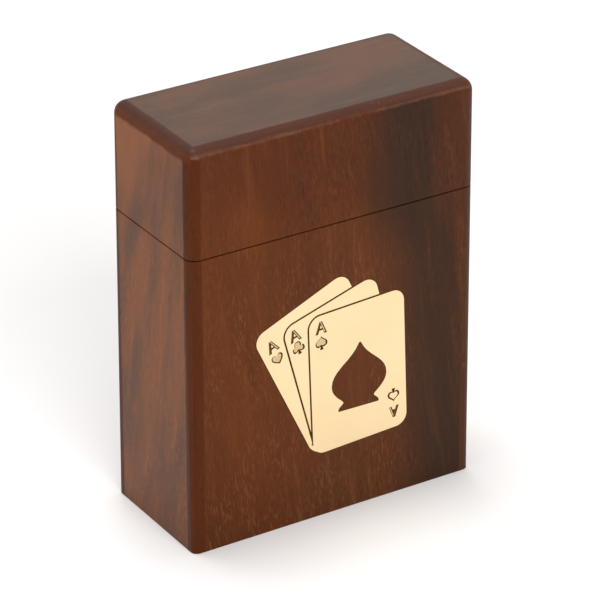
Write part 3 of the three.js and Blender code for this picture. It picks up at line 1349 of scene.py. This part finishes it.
class Outline(Enum):
    """The right-hand half of each shape, from the bottom middle up to the top middle.

    The first pair is where the half starts. Each span after it is two handles and an end, across
    as a share of the half width and up as a share of the height.
    """

    BIG_SPADE = (
        (0.0, 0.0),
        ((0.0, 0.0), (0.7, 0.0), (0.71, 0.0)),
        ((0.76, 0.0), (0.74, 0.03), (0.72, 0.05)),
        ((0.66, 0.08), (0.56, 0.1), (0.56, 0.13)),
        ((0.6, 0.17), (1.0, 0.26), (1.0, 0.42)),
        ((1.0, 0.66), (0.3, 0.74), (0.06, 0.975)),
        ((0.04, 0.99), (0.02, 1.0), (0.0, 1.0)),
    )
    SPADE = (
        (0.0, 0.27),
        ((0.3, 0.12), (1.0, 0.14), (1.0, 0.47)),
        ((1.0, 0.7), (0.3, 0.74), (0.0, 1.0)),
    )
    HEART = (
        (0.0, 0.0),
        ((0.35, 0.2), (1.0, 0.4), (1.0, 0.7)),
        ((1.0, 1.07), (0.25, 1.12), (0.0, 0.8)),
    )
    CLUB = (
        (0.0, 0.3),
        ((0.35, 0.1), (1.0, 0.04), (1.0, 0.38)),
        ((1.0, 0.6), (0.72, 0.66), (0.46, 0.58)),
        ((0.72, 0.76), (0.5, 1.0), (0.0, 1.0)),
    )
    STEM = (
        (0.0, 0.0),
        ((0.0, 0.0), (1.0, 0.0), (1.0, 0.0)),
        ((0.5, 0.2), (0.4, 0.5), (0.4, 1.0)),
        ((0.2, 1.0), (0.0, 1.0), (0.0, 1.0)),
    )

    def loop(self, width: float, height: float, steps: int) -> list[Place]:
        """The whole outline about its middle, counterclockwise.

        Args:
            width: The shape's width.
            height: The shape's height.
            steps: The number of steps in each span.

        Returns:
            The outline's points.
        """
        half = [self.value[0]]
        for first, second, end in self.value[1:]:
            start = half[-1]
            for step in range(1, steps + 1):
                half.append(cubic(start, first, second, end, step / steps))
        right = [(x * width / 2, (y - 0.5) * height) for x, y in half]
        left = [(-x, y) for x, y in reversed(right[1:-1])]
        return right + left


def cubic(start: Place, first: Place, second: Place, end: Place, share: float) -> Place:
    """A point on a cubic curve.

    Args:
        start: The curve's start.
        first: The handle of the start.
        second: The handle of the end.
        end: The curve's end.
        share: How far along the curve, from 0 to 1.

    Returns:
        The point.
    """
    rest = 1 - share
    weights = (rest**3, 3 * rest**2 * share, 3 * rest * share**2, share**3)
    points = (start, first, second, end)
    return (
        sum(weight * point[0] for weight, point in zip(weights, points)),
        sum(weight * point[1] for weight, point in zip(weights, points)),
    )


class Punching(Enum):
    """How a suit mark is punched: as a filled figure, or as its outline only."""

    FILLED = "filled"
    OUTLINED = "outlined"


@dataclass(frozen=True)
class IndexMark:
    """A letter over a suit mark, punched into a card's corner.

    The marks are drawn in millimetres, and how deep they go is in metres.
    """

    card: CardBlank
    outline: Outline
    letter_place: Place
    suit_place: Place
    suit_size: Place
    upside_down: bool = False
    punching: Punching = Punching.FILLED
    open_letter: bool = True
    letter_size: Place = (3.6, 3.6)
    stroke: float = 0.95
    tip_share: float = 0.45
    web_drop_share: float = 1.2
    bar_height_share: float = 0.3
    bar_stroke_share: float = 0.62
    overlap_share: float = 0.3
    letter_slope: float = 0.28
    bar_slope_share: float = 0.6
    bar_depth_step: float = 0.05
    suit_steps: int = 6
    suit_slope_share: float = 0.28
    stem_size: Place = (1.15, 1.2)
    stem_end_share: float = 0.7
    stem_depth_share: float = 0.9
    lead: float = 0.04 * MM
    shank: float = 1 * MM
    core_rise: float = 0.5 * MM

    def letter_bars(self) -> list[list[Place]]:
        """The bars of a capital A about its middle: two legs, and a bar or a whole web.

        Returns:
            The bars' outlines.
        """
        x, y = self.letter_size[0] / 2, self.letter_size[1] / 2
        tip = self.stroke * self.tip_share
        web_top = y - self.stroke * self.web_drop_share
        low = -y + self.letter_size[1] * self.bar_height_share
        high = low + self.stroke * self.bar_stroke_share

        def inside(up: float) -> float:
            """How far the inner edge of a leg lies from the middle, a little into the leg."""
            reach = (x - self.stroke) * (web_top - up) / (web_top + y)
            return reach + self.stroke * self.overlap_share

        right = [(x - self.stroke, -y), (x, -y), (tip, y), (-tip, y)]
        left = [(-x, -y), (self.stroke - x, -y), (tip, y), (-tip, y)]
        bar = [(-inside(low), low), (inside(low), low)]
        if self.open_letter:
            bar += [(inside(high), high), (-inside(high), high)]
        else:
            bar += [(tip, y), (-tip, y)]
        return [right, left, bar]

    def place_on(self, fan: Place, across: float, down: float) -> Place:
        """A place measured from the card's top left corner, or from the bottom right one.

        Args:
            fan: The fan's bottom corner, in millimetres.
            across: How far in from the side.
            down: How far in from the top or the bottom.

        Returns:
            The place on the front.
        """
        if self.upside_down:
            return self.card.point(fan, self.card.width - across, down)
        return self.card.point(fan, across, self.card.height - down)

    def letter_punches(self, front: float, deep: float) -> list[Workpiece]:
        """The punches of the letter's bars, each less deep than the one before it.

        Args:
            front: The plate's face, along Y in metres.
            deep: The depth of the marks.

        Returns:
            The punches, about the origin.
        """
        start = front - self.lead
        loops = self.letter_bars()
        made = []
        for step, loop in enumerate(loops):
            bar = flat_solid("letter_punch", loop, front - self.shank, start)
            slope = self.letter_slope * (self.bar_slope_share if loop is loops[-1] else 1)
            length = (deep + self.lead) * (1 - self.bar_depth_step * step)
            slope_end(bar, start, slope * MM, length)
            made.append(bar)
        return made

    def suit_punch(self, front: float, deep: float) -> Workpiece:
        """The punch of the suit mark.

        Args:
            front: The plate's face, along Y in metres.
            deep: The depth of the mark.

        Returns:
            The punch, about the origin.
        """
        start = front - self.lead
        loop = self.outline.loop(*self.suit_size, self.suit_steps)
        suit = flat_solid("suit_punch", loop, front - self.shank, start)
        share = 1 - self.suit_slope_share
        taper_end(suit, start, share, deep + self.lead)
        if self.punching is Punching.OUTLINED:
            taper_end(suit, front + deep, share, -deep - self.core_rise)
        return suit

    def stem_punch(self, front: float, deep: float) -> Workpiece:
        """The punch of a spade's or a club's stem.

        Args:
            front: The plate's face, along Y in metres.
            deep: The depth of the mark.

        Returns:
            The punch, about the origin.
        """
        start = front - self.lead
        loop = Outline.STEM.loop(*self.stem_size, 1)
        stem = flat_solid("stem_punch", loop, front - self.shank, start)
        taper_end(stem, start, self.stem_end_share, (deep + self.lead) * self.stem_depth_share)
        return stem

    def punches(self, fan: Place, front: float, deep: float) -> list[Workpiece]:
        """The punches that press the letter and the suit mark, with sloping sides.

        Args:
            fan: The fan's bottom corner, in millimetres.
            front: The plate's face, along Y in metres.
            deep: The depth of the marks, in metres.

        Returns:
            The solids for the letter's bars, for the suit mark and for its stem.
        """
        made = [(bar, self.letter_place) for bar in self.letter_punches(front, deep)]
        made.append((self.suit_punch(front, deep), self.suit_place))
        if self.outline is not Outline.HEART:
            down = self.suit_place[1] + (self.suit_size[1] - self.stem_size[1]) / 2
            made.append((self.stem_punch(front, deep), (self.suit_place[0], down)))
        angle = (self.card.lean + self.card.tilt) / 2 + (180 if self.upside_down else 0)
        for punch, (across, down) in made:
            punch.lay(self.place_on(fan, across, down), angle)
        return [punch for punch, _ in made]


@dataclass(frozen=True)
class AceInlay:
    """The fan of three aces: two brass plates in a shallow pocket, with dark filler between.

    What is drawn on the front is in millimetres, and what goes into it is in metres.
    """

    outer: OuterBlock
    body_height: float
    thickness: float = 1 * MM
    slit: float = 0.5
    play: float = 0.2
    overrun: float = 0.6 * MM
    pocket_lead: float = 1 * MM
    web_width: float = 0.5
    mark_depth: float = 0.25 * MM
    filler_drop: float = 0.04 * MM
    relief_radius: float = 0.28
    relief_steps: int = 20
    relief_length: float = 12 * MM
    fan_left: float = 6.3
    fan_drop: float = 22.5
    heart: CardBlank = CardBlank(right=0, up=0, width=29.0, height=41.6, lean=25.15, tilt=23.3)
    club: CardBlank = CardBlank(right=1.2, up=0.2, width=28.0, height=39.05, lean=15.3, tilt=17.0)
    spade: CardBlank = CardBlank(
        right=0.1, up=-0.1, width=28.0, height=38.95, lean=2.35, tilt=2.95
    )
    spade_place: Place = (14.2, 9.6)
    spade_size: Place = (16.3, 18.3)
    spade_lean: float = -0.9
    spade_steps: int = 9
    plate_break_angle: float = 20.0
    filler_break_angle: float = 25.0

    @property
    def fan(self) -> Place:
        """The fan's bottom corner, in millimetres on the front."""
        return (-self.fan_left, self.body_height / MM / 2 - self.fan_drop)

    @property
    def front(self) -> float:
        """The front face of the box, along Y."""
        return -self.outer.depth / 2

    def span(self, layer: int) -> Range:
        """The front and back of a solid that stands out of the plate on both sides.

        Args:
            layer: How many times the overrun it stands out, so that no two faces fall together.

        Returns:
            The two levels, along Y.
        """
        reach = layer * self.overrun
        return self.front - reach, self.front + self.thickness + reach

    def thick_card(self, name: str, card: CardBlank, grow: float, layer: int) -> Workpiece:
        """A card as a solid that stands out of the plate on both sides.

        Args:
            name: The solid's name.
            card: The card.
            grow: How far its outline stands outside the card's, in millimetres.
            layer: How many times the overrun it stands out.

        Returns:
            The solid.
        """
        return card.solid(name, self.fan, grow, *self.span(layer))

    def big_spade(self, shrink: float, layer: int) -> Workpiece:
        """The large spade of the front card as a solid that stands out on both sides.

        Args:
            shrink: How far its outline lies inside the drawn one, in millimetres.
            layer: How many times the overrun it stands out.

        Returns:
            The solid.
        """
        width, height = (size - 2 * shrink for size in self.spade_size)
        loop = Outline.BIG_SPADE.loop(width, height, self.spade_steps)
        spade = flat_solid("big_spade", loop, *self.span(layer))
        across, up = self.spade_place
        place = self.spade.point(self.fan, across, up + self.spade_size[1] / 2)
        spade.lay(place, self.spade_lean)
        return spade

    def corner_web(self, grow: float, layer: int) -> Workpiece:
        """The sliver that joins the heart card's lower corner to the spade card's.

        Args:
            grow: How far its outline stands outside the cards', in millimetres.
            layer: How many times the overrun it stands out.

        Returns:
            The solid.
        """
        cards = (self.heart, self.spade)
        start, end = (Vector(card.point(self.fan, card.corner, card.corner)) for card in cards)
        along = (end - start).normalized()
        outward = Vector((along.y, -along.x))
        outside = self.heart.corner + grow
        inside = outside - self.web_width
        corners = ((start, outside), (end, outside), (end, inside), (start, inside))
        loop = [tuple(centre + outward * reach) for centre, reach in corners]
        return flat_solid("corner_web", loop, *self.span(layer))

    def slit_relief(self) -> Workpiece:
        """The round hole in which the two slits end.

        Returns:
            The cutting solid.
        """
        club_slope = math.tan(math.radians(self.club.lean))
        spade_slope = math.tan(math.radians(self.spade.lean))
        club_x, club_y = self.club.point(self.fan, -self.slit, 0)
        spade_x, spade_y = self.spade.point(self.fan, 0, 0)
        gap = club_x - spade_x + club_slope * club_y - spade_slope * spade_y
        height = gap / (club_slope - spade_slope)
        across = spade_x - spade_slope * (height - spade_y)
        radius = self.relief_radius
        bpy.ops.object.select_all(action="DESELECT")
        bpy.ops.mesh.primitive_cylinder_add(
            vertices=self.relief_steps,
            radius=radius * MM,
            depth=self.relief_length,
            location=((across - radius) * MM, self.front, (height + radius * 2) * MM),
            rotation=(math.pi / 2, 0, 0),
        )
        relief = Workpiece(bpy.context.object)
        relief.settle()
        return relief

    def trim(self, solid: Workpiece, front: float, back: float) -> None:
        """Cuts a solid down to what lies between two levels.

        Args:
            solid: The solid.
            front: The front level, along Y.
            back: The back level.
        """
        reach = self.outer.height
        low, high = Vector((-reach, front, -reach)), Vector((reach, back, reach))
        solid.use(Workpiece.block("slab", low, high), Joining.KEEP_SHARED)

    def pocket(self, front: float, back: float) -> Workpiece:
        """The pocket that is cut for the plates. The wood stays standing in the big spade.

        Args:
            front: The cutter's front face, along Y.
            back: The pocket's floor.

        Returns:
            The cutting solid.
        """
        cutter = self.thick_card("pocket", self.heart, self.play, 2)
        cutter.use(self.thick_card("pocket_part", self.club, self.play, 3), Joining.ADD)
        cutter.use(self.thick_card("pocket_part", self.spade, self.play, 4), Joining.ADD)
        cutter.use(self.corner_web(self.play, 1), Joining.ADD)
        cutter.use(self.big_spade(self.play, 5), Joining.CUT_AWAY)
        self.trim(cutter, front, back)
        return cutter

    def ace_plate(self) -> Workpiece:
        """The heart card and the spade card, which are one plate.

        Returns:
            The plate, without its marks.
        """
        plate = self.thick_card("ace_plate", self.heart, 0, 1)
        plate.use(self.thick_card("slit", self.club, self.slit, 2), Joining.CUT_AWAY)
        plate.use(self.thick_card("spade_card", self.spade, 0, 3), Joining.ADD)
        plate.use(self.corner_web(0, 4), Joining.ADD)
        plate.use(self.slit_relief(), Joining.CUT_AWAY)
        plate.use(self.big_spade(0, 5), Joining.CUT_AWAY)
        self.trim(plate, self.front, self.front + self.thickness)
        return plate

    def club_plate(self) -> Workpiece:
        """What shows of the club card between the two others.

        Returns:
            The plate, without its marks.
        """
        plate = self.thick_card("club_plate", self.club, 0, 1)
        plate.use(self.thick_card("slit", self.spade, self.slit, 2), Joining.CUT_AWAY)
        self.trim(plate, self.front, self.front + self.thickness)
        return plate

    def filler(self, plates: tuple[Workpiece, ...]) -> Workpiece:
        """The filler in the pocket round the plates, a little below the face.

        Args:
            plates: The two plates.

        Returns:
            The filler.
        """
        back = self.front + self.thickness - self.filler_drop
        filler = self.pocket(self.front + self.filler_drop, back)
        filler.piece.name = "slit_filler"
        for plate in plates:
            filler.combine(plate, Joining.CUT_AWAY)
        return filler

    def ace_marks(self) -> list[IndexMark]:
        """The marks of the heart card, and the two of the spade card.

        Returns:
            The marks.
        """
        heart = IndexMark(
            self.heart,
            Outline.HEART,
            letter_place=(3.7, 5.4),
            suit_place=(3.55, 9.6),
            suit_size=(3.6, 3.15),
        )
        upright = IndexMark(
            self.spade,
            Outline.SPADE,
            letter_place=(3.5, 3.4),
            suit_place=(3.5, 7.65),
            suit_size=(3.75, 4.0),
        )
        turned = IndexMark(
            self.spade,
            Outline.SPADE,
            letter_place=(3.8, 4.5),
            suit_place=(3.8, 9.25),
            suit_size=(3.75, 4.0),
            upside_down=True,
            punching=Punching.OUTLINED,
            open_letter=False,
            letter_size=(3.2, 3.3),
        )
        return [heart, upright, turned]

    def club_marks(self) -> list[IndexMark]:
        """The mark of the club card.

        Returns:
            The mark, as a list.
        """
        mark = IndexMark(
            self.club,
            Outline.CLUB,
            letter_place=(2.85, 3.35),
            suit_place=(2.95, 7.05),
            suit_size=(3.75, 3.9),
        )
        return [mark]

    def punch(self, plate: Workpiece, marks: list[IndexMark]) -> None:
        """Punches a plate's index marks.

        Args:
            plate: The plate.
            marks: The marks.
        """
        for mark in marks:
            for tool in mark.punches(self.fan, self.front, self.mark_depth):
                plate.use(tool, Joining.CUT_AWAY)

    def build(self, front_panel: Workpiece) -> None:
        """Lets the inlay into the front panel and finishes its pieces.

        Args:
            front_panel: The front wall of the body.
        """
        pocket = self.pocket(self.front - self.pocket_lead, self.front + self.thickness)
        front_panel.use(pocket, Joining.CUT_AWAY)
        ace, club = self.ace_plate(), self.club_plate()
        filler = self.filler((ace, club))
        self.punch(ace, self.ace_marks())
        self.punch(club, self.club_marks())
        brass = BrassFinish(self.front, self.mark_depth).material()
        for plate, node in ((ace, "ace_inlay"), (club, "club_inlay")):
            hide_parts(node)
            plate.finish(brass, Slot.INLAY_BRASS, Part.BOX, self.plate_break_angle)
        dark = FillerFinish().material()
        filler.finish(dark, Slot.ROSEWOOD, Part.BOX, self.filler_break_angle)


@dataclass(frozen=True)
class Body:
    """The lower part: four mitred walls, the bottom board and the liner."""

    outer: OuterBlock
    wall: float = 6 * MM
    height: float = 81 * MM
    liner_round: float = 0.7 * MM
    liner_steps: int = 4
    liner_break_angle: float = 30.0

    def build_walls(self, block: Workpiece, woods: dict[Side, bpy.types.Material]) -> None:
        """Saws the walls, lets the inlay into the front one and finishes them.

        Args:
            block: The outer block.
            woods: The finish of each side.
        """
        for side in Side:
            plan = MitredWall(self.outer, side, self.wall, 0.0, self.height)
            wall = plan.build(f"{side.word}_wall", block)
            if side is Side.FRONT:
                AceInlay(self.outer, self.height).build(wall)
            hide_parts(f"{side.word}_panel")
            wall.finish(woods[side], Slot.ROSEWOOD, Part.BOX, self.outer.break_angle)

    def build_liner(self, wood: bpy.types.Material) -> None:
        """Models the liner's four boards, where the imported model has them.

        Args:
            wood: The liner's finish.
        """
        for side in Side:
            node = f"liner_{side.word}"
            board = self.liner_board(side, *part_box(node))
            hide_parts(node)
            board.finish(wood, Slot.LINER_WOOD, Part.BOX, self.liner_break_angle)

    def liner_board(self, side: Side, low: Vector, high: Vector) -> Workpiece:
        """Models a liner board with rounded top edges.

        Args:
            side: The side that the board stands on.
            low: Its lowest corner.
            high: Its highest corner.

        Returns:
            The board.
        """
        board = Workpiece.block(f"{side.word}_liner_board", low, high)
        top = high.z - self.liner_round

        def top_edge(one: Vector, other: Vector) -> bool:
            """Whether an edge runs along the board's top."""
            level = min(one.z, other.z) > top
            return level and abs((one - other).dot(side.outward)) < self.liner_round

        board.soften(top_edge, self.liner_round, self.liner_steps)
        return board

    def dress_bottom(self, node: bpy.types.Object, wood: bpy.types.Material) -> None:
        """Gives the bottom board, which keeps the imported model's solid, its finish.

        Args:
            node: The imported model's bottom board.
            wood: The finish.
        """
        node.data.materials.clear()
        node.data.materials.append(wood)
        logger.info("%s: keeps its solid", node.name)


@dataclass(frozen=True)
class Lid:
    """The upper part: four mitred walls under a mitred top board."""

    outer: OuterBlock
    wall: float = 5.7 * MM
    bottom: float = 81.3 * MM
    top_board: float = 6.5 * MM

    def build(
        self,
        block: Workpiece,
        woods: dict[Side, bpy.types.Material],
        top_wood_painted_sheen: bpy.types.Material,
    ) -> None:
        """Saws and finishes the lid's five boards.

        Args:
            block: The outer block.
            woods: The finish of each side.
            top_wood_painted_sheen: The finish of the top board.
        """
        outer = self.outer
        for side in Side:
            plan = MitredWall(outer, side, self.wall, self.bottom, outer.height, self.top_board)
            board = plan.build(f"lid_{side.word}_wall", block)
            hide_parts(f"lid_{side.word}")
            board.finish(woods[side], Slot.ROSEWOOD, Part.LID, outer.break_angle)
        board = block.copy("lid_top_board")
        board.saw(Vector((0, 0, outer.height - self.top_board)), Vector((0, 0, -1)))
        for side in Side:
            edge = side.outward * outer.reach(side) + Vector((0, 0, outer.height))
            board.saw(edge, side.outward * self.top_board - Vector((0, 0, self.wall)))
        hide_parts("lid_top")
        board.finish(top_wood_painted_sheen, Slot.ROSEWOOD, Part.LID, outer.break_angle)


@dataclass(frozen=True)
class Lamp:
    """A soft rectangular light that shines on the box."""

    name: str
    place: Triple
    size: Place
    watts: float

    def build(self, aim: Vector) -> None:
        """Adds the light.

        Args:
            aim: Where it points.
        """
        data = bpy.data.lights.new(self.name, "AREA")
        data.shape = "RECTANGLE"
        data.size, data.size_y = self.size
        data.energy = self.watts
        lamp = bpy.data.objects.new(self.name, data)
        lamp.location = self.place
        lamp.rotation_euler = (aim - Vector(self.place)).to_track_quat("-Z", "Y").to_euler()
        bpy.context.scene.collection.objects.link(lamp)


@dataclass(frozen=True)
class Studio:
    """The floor, the lights, the surroundings and the camera."""

    azimuth: float = -32.13
    elevation: float = 27.26
    distance: float = 0.95
    aim: Triple = (1.18 * MM, -0.74 * MM, 51.9 * MM)
    lens: float = 226.96
    floor_size: float = 6.0
    floor_squares: int = 8
    room_light: float = 0.5
    lamps: tuple[Lamp, ...] = (
        Lamp("key", (-0.15, -1.0, 0.75), (0.8, 0.6), 11.0),
        Lamp("overhead", (-0.02, 0.18, 1.35), (0.5, 0.5), 12.0),
    )

    def build(self) -> None:
        """Sets up all of it."""
        self.build_floor()
        self.build_surroundings()
        for lamp in self.lamps:
            lamp.build(Vector(self.aim))
        self.build_camera()

    def build_floor(self) -> None:
        """Lays the flat floor, wide enough to fill the view."""
        bpy.ops.object.select_all(action="DESELECT")
        squares = self.floor_squares
        bpy.ops.mesh.primitive_grid_add(
            x_subdivisions=squares, y_subdivisions=squares, size=self.floor_size
        )
        floor = bpy.context.object
        floor.name = "floor"
        floor.data.materials.append(FloorFinish().material())

    def build_surroundings(self) -> None:
        """Lights the scene evenly from all round, in front of plain white."""
        world = bpy.data.worlds.new("surroundings")
        shader = ShaderTree(world)
        strength = shader.at_least(shader.seen_rays(), self.room_light)
        back = shader.node("Background", {"Color": (1, 1, 1, 1), "Strength": strength})
        shader.node("OutputWorld", {"Surface": back.outputs[0]})
        bpy.context.scene.world = world

    def build_camera(self) -> None:
        """Adds the camera, a fixed distance from what it looks at."""
        azimuth, elevation = math.radians(self.azimuth), math.radians(self.elevation)
        level = math.cos(elevation)
        back = Vector(
            (math.sin(azimuth) * level, -math.cos(azimuth) * level, math.sin(elevation))
        )
        data = bpy.data.cameras.new("camera")
        data.lens = self.lens
        camera = bpy.data.objects.new("camera", data)
        camera.location = Vector(self.aim) + back * self.distance
        camera.rotation_euler = back.to_track_quat("Z", "Y").to_euler()
        bpy.context.scene.collection.objects.link(camera)
        bpy.context.scene.camera = camera


def front_wood() -> RosewoodFinish:
    """The wood of the front and the back, with the heartwood on the right, and painted shade
    towards the foot and towards the right.

    Returns:
        The finish.
    """
    return RosewoodFinish(
        "front_rosewood",
        base=(91, 45, 15),
        second=(82, 40, 13),
        pale=(120, 73, 44),
        # Upright bevels darker than the front: painted shade; the pale rim_low is a painted
        # highlight along the lower part of the top bevel.
        edges=BevelShadeAndWear((73, 31, 4), (70, 40, 24), rim_low=(96, 64, 50), rim_height=2.1 * MM),
        lean=7.0,
        seed=(0.31, 0.12),
        heartwood=Heartwood(),
        tones=(
            # Darker towards the foot: painted shade near the floor.
            Tone((0, 0, -1), -34 * MM, 0, (73, 35, 10), 0.75),
            # Darker towards the right: painted shade.
            Tone((1, 0, 0), -22 * MM, 4 * MM, (76, 41, 19), 0.6),
            Tone((0.35, 0, 1), 76 * MM, 92 * MM, (72, 33, 13), 0.7),
        ),
        flecks=Flecks(0.44),
        pale_strength=0.2,
        ripple_strength=0.8,
    )


def side_wood_painted_sheen() -> RosewoodFinish:
    """The wood of the left and the right, broadly striped, lighter than the front by a painted
    sheen.

    Returns:
        The finish.
    """
    return RosewoodFinish(
        "side_rosewood_painted_sheen",
        # Lighter and paler than the front's colours: painted sheen.
        base=(130, 79, 49),
        second=(90, 65, 52),
        pale=(162, 99, 66),
        # Bevels darker than the sheened flats: painted shade.
        edges=BevelShadeAndWear((73, 31, 4), (73, 31, 4)),
        lean=-11.0,
        lean_axis=Lean.ABOUT_X,
        seed=(0.52, 0.47),
        figure_scale=(100, 26),
        drift=0.8,
        tones=(
            Tone((0, 0.5, 0.5), 45 * MM, 58 * MM, (152, 92, 52), 0.6),
            Tone((0, -0.6, -0.4), -16 * MM, 8 * MM, (96, 62, 44), 0.7),
        ),
        flecks=Flecks(0.36),
        pale_strength=0.28,
        ripple_strength=0.7,
    )


def top_wood_painted_sheen() -> RosewoodFinish:
    """The wood of the top and the bottom, greyer and lighter than the front by a painted sheen,
    with its grain along the width.

    Returns:
        The finish.
    """
    return RosewoodFinish(
        "top_rosewood_painted_sheen",
        # Greyer and lighter than the front's colours: painted sheen.
        base=(92, 66, 53),
        second=(76, 59, 51),
        pale=(109, 78, 62),
        # Bevels darker than the sheened flats: painted shade.
        edges=BevelShadeAndWear((72, 38, 20), (72, 38, 20)),
        grain=Grain.ALONG_WIDTH,
        seed=(0.83, 0.21),
        figure_scale=(60, 24),
        tones=(Tone((0.7, -0.7, 0), 10 * MM, 32 * MM, (76, 62, 53), 0.7),),
        pale_strength=0.14,
        ripple_strength=0.5,
    )


def liner_wood() -> RosewoodFinish:
    """The paler, duller wood of the liner.

    Returns:
        The finish.
    """
    return RosewoodFinish(
        "liner_wood",
        base=(150, 100, 64),
        second=(124, 80, 50),
        pale=(176, 128, 88),
        edges=BevelShadeAndWear((150, 100, 64), (150, 100, 64)),
        seed=(0.14, 0.66),
        roughness=0.6,
    )


def main() -> None:
    """Builds the box piece by piece, then the studio."""
    logging.basicConfig(level=logging.INFO, format="%(message)s")
    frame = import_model()
    bpy.context.scene.view_settings.view_transform = "Standard"
    outer = OuterBlock()
    block = outer.build()
    front, side = front_wood().material(outer), side_wood_painted_sheen().material(outer)
    top = top_wood_painted_sheen().material(outer)
    woods = {Side.FRONT: front, Side.BACK: front, Side.LEFT: side, Side.RIGHT: side}
    body = Body(outer)
    body.build_walls(block, woods)
    body.build_liner(liner_wood().material(outer))
    body.dress_bottom(frame["nodes"]["bottom_panel"], top)
    Lid(outer).build(block, woods, top)
    block.discard()
    Studio().build()


if __name__ == "__main__":
    main()
